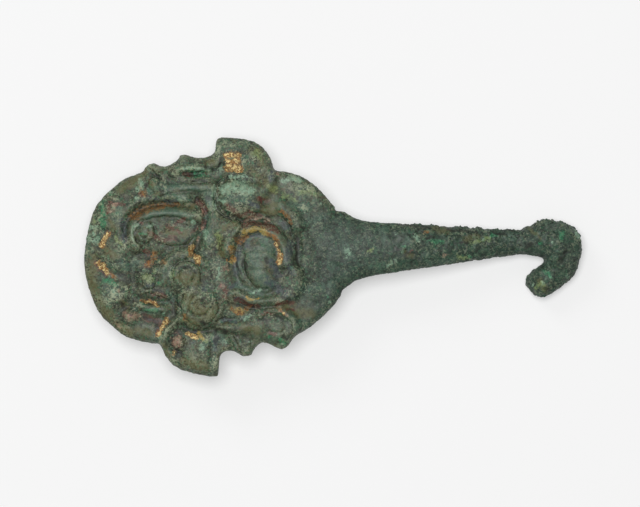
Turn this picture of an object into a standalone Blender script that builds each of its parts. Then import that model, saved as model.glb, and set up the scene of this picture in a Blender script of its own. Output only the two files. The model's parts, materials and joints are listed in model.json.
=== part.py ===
"""A cast bronze garment hook: a round relief plate with two coiled creatures, a tapering neck and a blunt hook.

It lies on its back. The origin is the middle of the button's flat face, which is the underside of the stud
behind the plate. +X runs out along the neck to the hook, and the relief faces +Z. Lengths are in metres.
"""

import math

import bmesh
import bpy
import numpy as np
from mathutils import Vector

# Plate
PLATE_REACH = 0.0235       # middle to the round outer end
PLATE_EDGE = 0.0021        # thickness at the rim
PLATE_CROWN = 0.0015       # how far the face swells from rim to middle
PLATE_HOLLOW = 0.0006      # how far the back is dished
RIM_ROUNDING = 0.0016      # width over which the face rolls down to the rim
RELIEF_HEIGHT = 0.0018     # highest boss above the face
CARVING_DEPTH = 0.0011     # deepest line cut into the face

# Stud behind the plate
BUTTON_RADIUS = 0.0080
BUTTON_THICKNESS = 0.0018
BUTTON_CHAMFER = 0.0004
STEM_RADIUS = 0.0028
STEM_FILLET = 0.0007
BELT_GAP = 0.0045          # clear height between the button and the plate's back

# Neck
NECK_LENGTH = 0.0310       # plate's edge to the swell of the hook
NECK_OFFSET = 0.0012       # the neck leaves the plate this far to the side of its middle
NECK_DRIFT = 0.0014        # further sideways wander along the neck
NECK_ROOT_HALF_WIDTH = 0.0053
NECK_TIP_HALF_WIDTH = 0.0021
NECK_FLARE = 0.0016        # extra half width where the neck spreads into the plate
NECK_ROOT_HALF_HEIGHT = 0.0018
NECK_TIP_HALF_HEIGHT = 0.0021
NECK_ARCH = 0.0014         # rise of the neck's line between plate and hook
TONGUE_PROUD = 0.0007      # how far the neck's root stands above the plate's face

# Hook, curled round its throat
HOOK_REACH = 0.0080        # throat's middle to the outer side of the head
THROAT_RADIUS = 0.0004
HOOK_SWELL_LENGTH = 0.0038   # neck's tip to the throat's middle
LIP_LENGTH = 0.0028        # blunt end beyond the curl
REST_FLAT = 0.0002         # depth of the flat that the hook lies on

# Fineness
SPOKES = 240
FACE_RINGS = 66
RIM_RINGS = 8
BACK_RINGS = 10
PLATE_TRIANGLES = 6900
SECTION_SIDES = 20
STUD_STEPS = 40
FILLET_STEPS = 3
TONGUE_STEPS = 8
NECK_STEPS = 16
HOOK_STEPS = 14
STEPS_PER_SPAN = 24        # of a curve, while it is evened out
POINTS_PER_KEY = 6         # along a carved line

# Heights that follow
BACK_Z = BUTTON_THICKNESS + BELT_GAP
FACE_Z = BACK_Z + PLATE_EDGE

# The plate's outline as turns from +X in degrees, and reaches as shares of PLATE_REACH
EVEN_SHARE = 0.90          # the round form that the plate has near its middle, as a share of PLATE_REACH
OUTLINE = (
    # shoulder above the neck
    (0, 0.960), (21.7, 0.962), (24.2, 0.957), (35.4, 0.918), (43.1, 0.883), (49.5, 0.838), (55.7, 0.787),
    # crest of the upper creature, with its straight side
    (57.8, 0.800), (62.0, 0.852), (68.4, 0.902), (75.1, 0.913), (84.0, 0.904), (88.6, 0.901), (90.2, 0.880),
    (90.9, 0.800), (93.2, 0.765),
    # two cusps and the bays beside them
    (98.4, 0.753), (103.8, 0.774), (107.1, 0.807), (110.0, 0.813), (111.7, 0.789), (116.5, 0.778),
    (120.2, 0.790), (122.6, 0.822), (124.3, 0.858), (128.3, 0.862), (131.3, 0.848),
    # round outer back
    (140.9, 0.918), (153.8, 0.974), (163.6, 0.993), (179.1, 0.997), (191.1, 0.996), (205.1, 0.980),
    (219.1, 0.921), (226.2, 0.869), (232.9, 0.817), (236.5, 0.784),
    # crest of the lower creature, with its straight side
    (239.5, 0.805), (243.0, 0.842), (248.5, 0.880), (255.4, 0.892), (264.2, 0.898), (269.6, 0.902),
    (270.7, 0.890), (271.3, 0.774), (272.6, 0.730),
    # two cusps and the bays beside them
    (276.5, 0.710), (280.7, 0.722), (283.8, 0.759), (286.4, 0.780), (289.2, 0.778), (292.9, 0.741),
    (297.5, 0.727), (300.9, 0.759), (303.4, 0.817), (305.5, 0.854), (309.4, 0.856), (314.1, 0.838),
    # shoulder below the neck
    (320.1, 0.863), (325.2, 0.889), (337.4, 0.953), (346.4, 0.980),
)

# Powers. 0.5 gives a round swell, and 1.0 one that runs out softly. The last keeps neighbours apart.
BOSS_POWER = 0.80
RIDGE_POWER = 0.90
MEETING_POWER = 4.0

# Raised bosses: middle, half sizes and turn in degrees, and height. All but the turn are shares.
BOSSES = (
    # upper creature: crest, brow, domed head, snout, coiled body, small rounds at the cusps
    ((0.20, 0.74), (0.25, 0.13), -14, 0.42),
    ((0.30, 0.64), (0.08, 0.08), 0, 0.40),
    ((0.175, 0.44), (0.225, 0.180), 8, 0.80),
    ((0.08, 0.20), (0.13, 0.13), 0, 0.52),
    ((-0.06, 0.30), (0.11, 0.24), 0, 0.36),
    ((0.335, -0.04), (0.185, 0.25), 0, 0.80),
    ((0.39, 0.40), (0.12, 0.12), 0, 0.30),
    ((-0.03, 0.705), (0.06, 0.04), 0, 0.35),
    ((-0.46, 0.55), (0.085, 0.085), 0, 0.55),
    ((-0.24, 0.75), (0.05, 0.06), 0, 0.30),
    ((-0.48, 0.69), (0.05, 0.05), 0, 0.30),
    # leaf on the left and its inner round
    ((-0.54, 0.19), (0.10, 0.10), 0, 0.60),
    ((-0.31, 0.19), (0.22, 0.12), 6, 0.30),
    # lower creature
    ((-0.20, -0.76), (0.26, 0.13), -14, 0.42),
    ((-0.29, -0.65), (0.06, 0.06), 0, 0.35),
    ((-0.13, -0.37), (0.20, 0.18), 8, 0.80),
    ((-0.225, -0.14), (0.160, 0.150), 0, 0.66),
    ((0.02, -0.17), (0.13, 0.22), 0, 0.42),
    ((-0.51, -0.19), (0.078, 0.075), 0, 0.60),
    ((-0.45, -0.10), (0.045, 0.045), 0, 0.40),
    ((-0.41, -0.19), (0.045, 0.045), 0, 0.42),
    ((-0.65, -0.44), (0.065, 0.055), 0, 0.55),
    ((0.46, -0.55), (0.105, 0.09), 0, 0.45),
    ((0.24, -0.70), (0.05, 0.06), 0, 0.30),
    ((0.50, -0.69), (0.05, 0.05), 0, 0.30),
    # leaf on the right and its inner round
    ((0.55, -0.20), (0.10, 0.10), 0, 0.45),
    ((0.33, -0.52), (0.16, 0.10), 0, 0.35),
    # lumps along the round outer back
    ((-0.77, 0.02), (0.13, 0.14), 0, 0.40),
    ((-0.79, -0.28), (0.14, 0.13), 30, 0.45),
    ((-0.78, 0.33), (0.10, 0.15), -20, 0.38),
    ((-0.60, 0.55), (0.12, 0.07), 35, 0.30),
)

# Raised ridges: points, half width and height, as shares
RIDGES = (
    (((-0.61, 0.08), (-0.64, 0.18), (-0.59, 0.27), (-0.49, 0.32), (-0.37, 0.34), (-0.24, 0.32), (-0.14, 0.30)),
     0.060, 0.62),
    (((-0.66, 0.04), (-0.72, 0.20), (-0.68, 0.33), (-0.57, 0.42), (-0.41, 0.46), (-0.24, 0.45)), 0.055, 0.38),
    (((-0.41, 0.49), (-0.24, 0.525), (-0.05, 0.52), (0.0, 0.45)), 0.060, 0.40),
    (((-0.33, 0.63), (-0.20, 0.67), (-0.07, 0.66)), 0.042, 0.40),
    (((-0.31, 0.60), (-0.20, 0.585), (-0.07, 0.59)), 0.038, 0.28),
    (((-0.56, 0.50), (-0.575, 0.60), (-0.52, 0.67), (-0.43, 0.66)), 0.045, 0.42),
    (((0.36, 0.50), (0.40, 0.58), (0.36, 0.68)), 0.050, 0.42),
    (((0.08, 0.04), (0.10, 0.13), (0.20, 0.20), (0.31, 0.215), (0.42, 0.18), (0.50, 0.09), (0.52, -0.04)),
     0.058, 0.72),
    (((0.30, 0.37), (0.42, 0.40), (0.53, 0.35), (0.61, 0.23)), 0.060, 0.40),
    (((0.59, -0.10), (0.61, -0.20), (0.56, -0.27), (0.47, -0.32), (0.36, -0.345), (0.24, -0.32), (0.13, -0.29)),
     0.058, 0.52),
    (((0.33, -0.44), (0.39, -0.40), (0.48, -0.41), (0.565, -0.46), (0.59, -0.55), (0.56, -0.63)), 0.048, 0.52),
    (((0.41, -0.49), (0.24, -0.525), (0.06, -0.52)), 0.055, 0.36),
    (((-0.30, -0.48), (-0.375, -0.56), (-0.40, -0.66)), 0.038, 0.52),
    (((-0.40, -0.17), (-0.39, -0.07), (-0.30, 0.01), (-0.18, 0.01), (-0.09, -0.06)), 0.042, 0.46),
    (((-0.60, -0.27), (-0.50, -0.25), (-0.39, -0.28)), 0.042, 0.26),
    (((-0.60, -0.36), (-0.50, -0.385), (-0.40, -0.40)), 0.044, 0.22),
    (((0.13, -0.62), (0.17, -0.70), (0.22, -0.74)), 0.042, 0.30),
)

# Cut lines: points, half width and depth, as shares
GROOVES = (
    (((-0.69, 0.17), (-0.68, 0.27), (-0.61, 0.34), (-0.52, 0.38), (-0.41, 0.40), (-0.29, 0.39)), 0.030, 0.80),
    (((-0.15, 0.43), (-0.10, 0.38), (-0.08, 0.32), (-0.09, 0.23), (-0.13, 0.13), (-0.165, 0.01)), 0.026, 0.80),
    (((0.07, 0.59), (0.0, 0.50), (0.01, 0.39), (0.08, 0.31), (0.165, 0.29), (0.20, 0.23), (0.16, 0.15)),
     0.022, 0.85),
    (((-0.24, 0.625), (-0.09, 0.625)), 0.028, 0.60),
    (((-0.50, 0.655), (-0.44, 0.60), (-0.43, 0.55)), 0.018, 0.50),
    (((0.35, 0.41), (0.42, 0.41)), 0.035, 0.70),
    (((0.25, 0.27), (0.36, 0.26)), 0.030, 0.60),
    (((0.61, 0.15), (0.615, 0.05), (0.61, -0.06)), 0.024, 0.60),
    (((0.15, -0.31), (0.25, -0.37), (0.44, -0.375)), 0.026, 0.75),
    (((-0.53, -0.32), (-0.45, -0.335), (-0.36, -0.34)), 0.024, 0.65),
    (((-0.52, -0.46), (-0.42, -0.47)), 0.045, 0.55),
    (((-0.34, -0.50), (-0.42, -0.58)), 0.022, 0.40),
    (((-0.31, -0.30), (-0.30, -0.46), (-0.19, -0.555), (-0.02, -0.55)), 0.024, 0.60),
    (((-0.30, -0.70), (-0.27, -0.76)), 0.035, 0.50),
    (((0.04, -0.48), (0.16, -0.48)), 0.025, 0.50),
    (((-0.66, 0.02), (-0.55, 0.02), (-0.44, 0.0)), 0.030, 0.45),
    (((-0.63, -0.10), (-0.62, -0.28), (-0.68, -0.40)), 0.030, 0.40),
    (((0.15, 0.58), (0.26, 0.57)), 0.025, 0.45),
)

# The tongue where the neck starts, on the plate: its half widths along its length, as shares of its widest
TONGUE_WIDTHS = ((0.0, 0.30), (0.10, 0.62), (0.28, 0.90), (0.55, 1.04), (0.80, 1.02), (1.0, 1.0))
TONGUE_START = 0.62        # share of PLATE_REACH
TONGUE_FADE = 0.20         # share of the tongue's length over which its end runs out
TONGUE_SINK = 0.30         # how far its end sinks, as a share of TONGUE_PROUD
TONGUE_THINNING = 0.35     # how much its end thins, as a share of NECK_ROOT_HALF_HEIGHT
PLATE_END = 0.96           # share of PLATE_REACH at which the neck leaves the plate
FLARE_FADE = 0.05          # share of NECK_LENGTH over which the flare fades

# The hook. Its outer side is turns round the throat in degrees, and reaches as shares of HOOK_REACH.
THROAT_DROP = 0.416        # neck's line to the throat's middle, as a share of HOOK_REACH
HOOK_FLATNESS = 0.90       # height of the hook's section as a share of its width
LIP_STOPS = (0.12, 0.30, 0.50, 0.70, 0.86, 0.96)    # shares of LIP_LENGTH
LIP_DROOP = 0.65           # how far the lip's line sinks at its end, as a share of its half height
HOOK_OUTLINE = ((90, 0.885), (75, 0.935), (60, 0.98), (45, 1.0), (20, 0.96), (0, 0.88), (-20, 0.815),
                (-45, 0.745), (-70, 0.765), (-90, 0.820))


def curve_through(keys, count, closed=False):
    """Evenly spaced points along a smooth curve through the keys."""
    keys = np.array(keys, dtype=float)
    size = len(keys)
    spans = size if closed else size - 1
    t = np.linspace(0.0, 1.0, STEPS_PER_SPAN, endpoint=False)[:, None]
    pieces = []
    for span in range(spans):
        if closed:
            a, b, c, d = (keys[(span + step) % size] for step in (-1, 0, 1, 2))
        else:
            a, b, c, d = (keys[min(max(span + step, 0), size - 1)] for step in (-1, 0, 1, 2))
        cubic = -a + 3.0 * b - 3.0 * c + d
        square = 2.0 * a - 5.0 * b + 4.0 * c - d
        pieces.append(0.5 * (2.0 * b + (c - a) * t + square * t ** 2 + cubic * t ** 3))
    pieces.append(keys[:1] if closed else keys[-1:])
    fine = np.concatenate(pieces)
    walked = np.concatenate(([0.0], np.cumsum(np.linalg.norm(np.diff(fine, axis=0), axis=1))))
    stops = np.linspace(0.0, walked[-1], count, endpoint=not closed)
    return np.stack([np.interp(stops, walked, fine[:, axis]) for axis in range(fine.shape[1])], axis=1)


def smooth_step(t):
    t = min(max(t, 0.0), 1.0)
    return t * t * (3.0 - 2.0 * t)


def distance_to_path(x, y, points):
    """Distance from each place to a chain of straight runs."""
    nearest = np.full(x.shape, np.inf)
    for (ax, ay), (bx, by) in zip(points[:-1], points[1:]):
        run_x, run_y = bx - ax, by - ay
        along = np.clip(((x - ax) * run_x + (y - ay) * run_y) / (run_x ** 2 + run_y ** 2), 0.0, 1.0)
        nearest = np.minimum(nearest, np.hypot(x - ax - along * run_x, y - ay - along * run_y))
    return nearest


def carved_height(x, y):
    """Height of the relief over the plain face, at places given as shares of the plate's reach."""
    raised = np.zeros(x.shape)
    for (mx, my), (half_x, half_y), turn, height in BOSSES:
        c, s = math.cos(math.radians(turn)), math.sin(math.radians(turn))
        across = ((x - mx) * c + (y - my) * s) / half_x
        along = ((y - my) * c - (x - mx) * s) / half_y
        cap = np.clip(1.0 - across ** 2 - along ** 2, 0.0, None)
        raised += (height * cap ** BOSS_POWER) ** MEETING_POWER
    for points, half_width, height in RIDGES:
        path = curve_through(points, POINTS_PER_KEY * len(points))
        cap = np.clip(1.0 - (distance_to_path(x, y, path) / half_width) ** 2, 0.0, None)
        raised += (height * cap ** RIDGE_POWER) ** MEETING_POWER
    sunk = np.zeros(x.shape)
    for points, half_width, depth in GROOVES:
        path = curve_through(points, POINTS_PER_KEY * len(points))
        sunk = np.maximum(sunk, depth * np.exp(-(distance_to_path(x, y, path) / half_width) ** 2))
    return RELIEF_HEIGHT * raised ** (1.0 / MEETING_POWER) - CARVING_DEPTH * sunk


def plate_mesh():
    """The relief plate: a ball of spokes and rings pressed to the plate's outline, face and back."""
    outline = [(reach * math.cos(math.radians(turn)), reach * math.sin(math.radians(turn)))
               for turn, reach in OUTLINE]
    edge = curve_through(outline, SPOKES, closed=True)
    rings = FACE_RINGS + RIM_RINGS + BACK_RINGS
    bm = bmesh.new()
    bmesh.ops.create_uvsphere(bm, u_segments=SPOKES, v_segments=rings, radius=1.0)
    rounding = RIM_ROUNDING / PLATE_REACH
    for vert in bm.verts:
        turn = math.atan2(vert.co.y, vert.co.x) % math.tau
        spoke = round(turn / math.tau * SPOKES) % SPOKES
        ring = round(math.acos(max(-1.0, min(1.0, vert.co.z))) / math.pi * rings)
        roll = 0.0
        if ring <= FACE_RINGS:
            share = (1.0 - rounding) * ring / FACE_RINGS
        elif ring < FACE_RINGS + RIM_RINGS:
            roll = math.pi * (ring - FACE_RINGS) / RIM_RINGS
            share = 1.0 - rounding + rounding * math.sin(roll)
        else:
            roll = math.pi
            share = (1.0 - rounding) * (rings - ring) / BACK_RINGS
        even = Vector((math.cos(turn), math.sin(turn))) * EVEN_SHARE
        place = even.lerp(Vector(edge[spoke]), share ** 2) * share
        vert.co = (place.x, place.y, roll)
    bm.verts.ensure_lookup_table()
    x = np.array([vert.co.x for vert in bm.verts])
    y = np.array([vert.co.y for vert in bm.verts])
    roll = np.array([vert.co.z for vert in bm.verts])
    swell = np.clip(1.0 - x ** 2 - y ** 2, 0.0, None)
    face = FACE_Z + PLATE_CROWN * swell + carved_height(x, y)
    back = BACK_Z + PLATE_HOLLOW * swell
    height = back + (face - back) * 0.5 * (1.0 + np.cos(roll))
    for vert, z in zip(bm.verts, height):
        vert.co = (vert.co.x * PLATE_REACH, vert.co.y * PLATE_REACH, z)
    bmesh.ops.recalc_face_normals(bm, faces=bm.faces)
    mesh = bpy.data.meshes.new("plate")
    bm.to_mesh(mesh)
    bm.free()
    return mesh


def neck_stations():
    """Stations from the tongue to the hook's lip: middle, side direction, half width and half height."""
    tongue_x = TONGUE_START * PLATE_REACH
    edge_x = PLATE_END * PLATE_REACH
    tip_x = edge_x + NECK_LENGTH
    throat = Vector((tip_x + HOOK_SWELL_LENGTH, NECK_OFFSET + NECK_DRIFT - THROAT_DROP * HOOK_REACH))
    sideways = Vector((0.0, 1.0))
    hook_half_height = HOOK_FLATNESS * 0.5 * (HOOK_REACH - THROAT_RADIUS)
    root_z = FACE_Z + TONGUE_PROUD - NECK_ROOT_HALF_HEIGHT
    stations = []

    # tongue, hidden in the plate apart from its top
    root_half_width = NECK_ROOT_HALF_WIDTH + NECK_FLARE
    for share, width in curve_through(TONGUE_WIDTHS, TONGUE_STEPS + 1)[:-1]:
        low = 1.0 - smooth_step(share / TONGUE_FADE)
        z = root_z - TONGUE_SINK * TONGUE_PROUD * low
        half_height = NECK_ROOT_HALF_HEIGHT * (1.0 - TONGUE_THINNING * low)
        middle = Vector((tongue_x + share * (edge_x - tongue_x), NECK_OFFSET, z))
        stations.append((middle, sideways, width * root_half_width, half_height))

    # neck
    tip_z = 0.5 * (NECK_TIP_HALF_HEIGHT + hook_half_height)
    for step in range(NECK_STEPS + 1):
        t = step / NECK_STEPS
        flare = NECK_FLARE * math.exp(-t / FLARE_FADE)
        half_width = NECK_ROOT_HALF_WIDTH + (NECK_TIP_HALF_WIDTH - NECK_ROOT_HALF_WIDTH) * t + flare
        half_height = NECK_ROOT_HALF_HEIGHT + (NECK_TIP_HALF_HEIGHT - NECK_ROOT_HALF_HEIGHT) * t
        z = root_z + (tip_z - root_z) * smooth_step(t) + NECK_ARCH * math.sin(math.pi * t)
        middle = Vector((edge_x + NECK_LENGTH * t, NECK_OFFSET + NECK_DRIFT * t, z))
        stations.append((middle, sideways, half_width, half_height))

    # curl round the throat
    for turn, reach in curve_through(HOOK_OUTLINE, HOOK_STEPS + 1):
        outward = Vector((math.cos(math.radians(turn)), math.sin(math.radians(turn))))
        half_width = 0.5 * (reach * HOOK_REACH - THROAT_RADIUS)
        half_height = HOOK_FLATNESS * half_width
        x, y = throat + outward * (THROAT_RADIUS + half_width)
        stations.append((Vector((x, y, half_height - REST_FLAT)), outward, half_width, half_height))

    # lip
    middle, outward, end_half_width, end_half_height = stations[-1]
    for share in LIP_STOPS:
        narrow = math.sqrt(1.0 - share)
        z = end_half_height * (1.0 - LIP_DROOP * (1.0 - narrow)) - REST_FLAT
        lip_middle = Vector((middle.x - share * LIP_LENGTH, middle.y, z))
        stations.append((lip_middle, outward, end_half_width * narrow, end_half_height * narrow))
    return stations


def neck_mesh():
    """The neck and hook: sections lofted along the stations, closed at both ends."""
    bm = bmesh.new()
    rings = []
    for middle, side, half_width, half_height in neck_stations():
        ring = []
        for corner in range(SECTION_SIDES):
            turn = math.tau * corner / SECTION_SIDES
            across = side.to_3d() * half_width * math.cos(turn)
            place = middle + across + Vector((0.0, 0.0, half_height * math.sin(turn)))
            place.z = max(place.z, 0.0)
            ring.append(bm.verts.new(place))
        rings.append(ring)
    for ring, following in zip(rings[:-1], rings[1:]):
        for a in range(SECTION_SIDES):
            b = (a + 1) % SECTION_SIDES
            bm.faces.new((ring[a], ring[b], following[b], following[a]))
    bm.faces.new(rings[0])
    bm.faces.new(rings[-1])
    bmesh.ops.recalc_face_normals(bm, faces=bm.faces)
    mesh = bpy.data.meshes.new("neck")
    bm.to_mesh(mesh)
    bm.free()
    return mesh


def stud_profile():
    """Half section of the stud, from the top of the stem down to the button's face."""
    top = BACK_Z + PLATE_HOLLOW + 0.5 * PLATE_EDGE
    profile = [(0.0, top), (STEM_RADIUS, top)]
    corners = (
        (STEM_RADIUS + STEM_FILLET, BACK_Z + PLATE_HOLLOW, 1.0),
        (STEM_RADIUS + STEM_FILLET, BUTTON_THICKNESS, -1.0),
    )
    for x, z, up in corners:
        steps = range(FILLET_STEPS + 1) if up < 0.0 else range(FILLET_STEPS, -1, -1)
        for step in steps:
            turn = 0.5 * math.pi * step / FILLET_STEPS
            profile.append((x - STEM_FILLET * math.cos(turn), z - up * STEM_FILLET * (1.0 - math.sin(turn))))
    profile.append((BUTTON_RADIUS - BUTTON_CHAMFER, BUTTON_THICKNESS))
    profile.append((BUTTON_RADIUS, BUTTON_THICKNESS - BUTTON_CHAMFER))
    profile.append((BUTTON_RADIUS, BUTTON_CHAMFER))
    profile.append((BUTTON_RADIUS - BUTTON_CHAMFER, 0.0))
    profile.append((0.0, 0.0))
    return profile


def add_object(name, mesh, collection):
    thing = bpy.data.objects.new(name, mesh)
    collection.objects.link(thing)
    return thing


def as_tool(thing):
    """A solid that is joined into the hook and isn't a piece of its own."""
    thing.hide_render = True
    thing.display_type = "WIRE"
    return thing


def turned_stud(collection):
    profile = stud_profile()
    mesh = bpy.data.meshes.new("stud")
    mesh.from_pydata([(x, 0.0, z) for x, z in profile], [(i, i + 1) for i in range(len(profile) - 1)], [])
    stud = as_tool(add_object("stud", mesh, collection))
    screw = stud.modifiers.new("turn", "SCREW")
    screw.steps = STUD_STEPS
    screw.render_steps = STUD_STEPS
    screw.use_merge_vertices = True
    screw.merge_threshold = 0.00001
    return stud


def bronze():
    material = bpy.data.materials.new("patinated_bronze")
    material.use_nodes = True
    shader = material.node_tree.nodes["Principled BSDF"]
    shader.inputs["Base Color"].default_value = (0.075, 0.088, 0.062, 1.0)
    shader.inputs["Metallic"].default_value = 0.35
    shader.inputs["Roughness"].default_value = 0.62
    return material


def garment_hook(collection, tools):
    hook = add_object("garment_hook", plate_mesh(), collection)
    thin = hook.modifiers.new("fewer faces where it is plain", "DECIMATE")
    faces = sum(len(polygon.vertices) - 2 for polygon in hook.data.polygons)
    thin.ratio = PLATE_TRIANGLES / faces
    neck = as_tool(add_object("neck", neck_mesh(), tools))
    for tool in (neck, turned_stud(tools)):
        join = hook.modifiers.new("join " + tool.name, "BOOLEAN")
        join.operation = "UNION"
        join.solver = "EXACT"
        join.object = tool
    hook.data.materials.append(bronze())
    hook.data.shade_smooth()
    hook.data.set_sharp_from_angle(angle=math.radians(50.0))
    return hook


def main():
    for thing in list(bpy.data.objects):
        bpy.data.objects.remove(thing, do_unlink=True)
    pieces = bpy.data.collections.new("garment hook")
    tools = bpy.data.collections.new("tools")
    for collection in (pieces, tools):
        bpy.context.scene.collection.children.link(collection)
    garment_hook(pieces, tools)


main()
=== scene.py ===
import json
import math

import bmesh
import bpy
import numpy as np
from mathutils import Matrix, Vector, noise

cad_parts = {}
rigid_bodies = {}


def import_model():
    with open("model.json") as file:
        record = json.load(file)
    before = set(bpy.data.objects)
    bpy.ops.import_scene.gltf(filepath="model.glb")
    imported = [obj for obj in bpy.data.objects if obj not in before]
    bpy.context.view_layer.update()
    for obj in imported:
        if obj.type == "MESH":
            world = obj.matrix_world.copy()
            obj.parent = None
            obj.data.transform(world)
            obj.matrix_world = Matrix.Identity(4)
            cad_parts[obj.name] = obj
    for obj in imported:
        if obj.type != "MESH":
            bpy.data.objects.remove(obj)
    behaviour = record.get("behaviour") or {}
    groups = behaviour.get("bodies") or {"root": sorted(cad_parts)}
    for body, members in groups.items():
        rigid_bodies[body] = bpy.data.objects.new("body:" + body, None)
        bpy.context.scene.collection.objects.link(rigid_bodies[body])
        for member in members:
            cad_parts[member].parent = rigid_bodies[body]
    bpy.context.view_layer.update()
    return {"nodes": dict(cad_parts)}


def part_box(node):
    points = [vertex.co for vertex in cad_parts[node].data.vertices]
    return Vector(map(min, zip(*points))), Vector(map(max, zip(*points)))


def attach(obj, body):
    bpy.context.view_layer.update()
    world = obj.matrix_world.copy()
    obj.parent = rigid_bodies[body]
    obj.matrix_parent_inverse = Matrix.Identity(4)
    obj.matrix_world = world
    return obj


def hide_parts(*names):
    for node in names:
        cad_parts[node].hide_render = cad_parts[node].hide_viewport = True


for leftover in list(bpy.data.objects):
    bpy.data.objects.remove(leftover, do_unlink=True)

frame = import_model()
hookNode = frame["nodes"]["garment_hook"]
hookLow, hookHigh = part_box("garment_hook")
plateReach = -hookLow.x          # from the plate's middle to its round outer end
mm = 0.001
print("frame loaded, plate reach", round(plateReach / mm, 2), "mm")


# an object in the scene with the given mesh, lamp or lens
def added(name, data):
    thing = bpy.data.objects.new(name, data)
    bpy.context.scene.collection.objects.link(thing)
    return thing


def give(node, values):
    for name, value in values.items():
        node.inputs[name].default_value = value


# curves and fields. Carved lines and calm zones are drawn in shares of the plate's reach, and
# colours in millimetres, both from the plate's middle and seen from the front

# points along a smooth curve through the given ones
def throughPoints(points, perSpan=7):
    keys = np.array(points, dtype=float)
    last = len(keys) - 1
    if last == 0:
        return keys
    t = np.linspace(0.0, 1.0, perSpan, endpoint=False)[:, None]
    runs = []
    for span in range(last):
        a, b, c, d = (keys[min(max(span + step, 0), last)] for step in (-1, 0, 1, 2))
        runs.append(0.5 * (2 * b + (c - a) * t + (2 * a - 5 * b + 4 * c - d) * t ** 2
                           + (3 * b - a - 3 * c + d) * t ** 3))
    return np.concatenate(runs + [keys[-1:]])


# distance from each place to a line of points, or to a single one
def nearLine(x, y, points):
    line = throughPoints(points)
    if len(line) == 1:
        return np.hypot(x - line[0, 0], y - line[0, 1])
    nearest = np.full(len(x), np.inf)
    for (ax, ay), (bx, by) in zip(line[:-1], line[1:]):
        runX, runY = bx - ax, by - ay
        along = np.clip(((x - ax) * runX + (y - ay) * runY) / (runX ** 2 + runY ** 2), 0, 1)
        nearest = np.minimum(nearest, np.hypot(x - ax - along * runX, y - ay - along * runY))
    return nearest


# points on part of a circle, from one turn to another in degrees
def arc(middle, radius, start, end, steps=7):
    turns = np.radians(np.linspace(start, end, steps))
    return [(middle[0] + radius * math.cos(t), middle[1] + radius * math.sin(t)) for t in turns]


# 0 below low, 1 above high, and soft between them
def rise(low, high, values):
    t = np.clip((values - low) / (high - low), 0, 1)
    return t * t * (3 - 2 * t)


# soft random values from about -1 to 1, with lumps of the given size in metres
def grainAt(places, size, octaves, seed):
    shift = Vector((seed * 7.3, seed * 3.1, seed * 5.7))
    return np.array([noise.fractal(Vector(p) / size + shift, 1.0, 2.0, octaves) for p in places])


# 1 in the middle of scattered pits, 0 between them
def pitsAt(places, size, edge, seed):
    shift = Vector((seed * 2.9, seed * 6.1, seed * 4.3))
    near = np.array([noise.voronoi(Vector(p) / size + shift)[0][0] for p in places])
    return 1 - rise(*edge, near)


# values averaged with their neighbours, so only broad swells stay
def evened(values, edges, rounds):
    count = len(values)
    links = np.maximum(np.bincount(edges.ravel(), minlength=count), 1)
    for _ in range(rounds):
        total = np.bincount(edges[:, 0], weights=values[edges[:, 1]], minlength=count)
        total += np.bincount(edges[:, 1], weights=values[edges[:, 0]], minlength=count)
        values = 0.4 * values + 0.6 * total / links
    return values


# a mesh's places, the way it faces at each, and its edges
def readMesh(mesh):
    places = np.zeros(len(mesh.vertices) * 3)
    mesh.vertices.foreach_get("co", places)
    facing = np.zeros(len(mesh.vertices) * 3)
    mesh.vertex_normals.foreach_get("vector", facing)
    edges = np.zeros(len(mesh.edges) * 2, dtype=np.int32)
    mesh.edges.foreach_get("vertices", edges)
    return places.reshape(-1, 3), facing.reshape(-1, 3), edges.reshape(-1, 2)


# the casting: the solid's form with the finer carving, crust and pits on it

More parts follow.
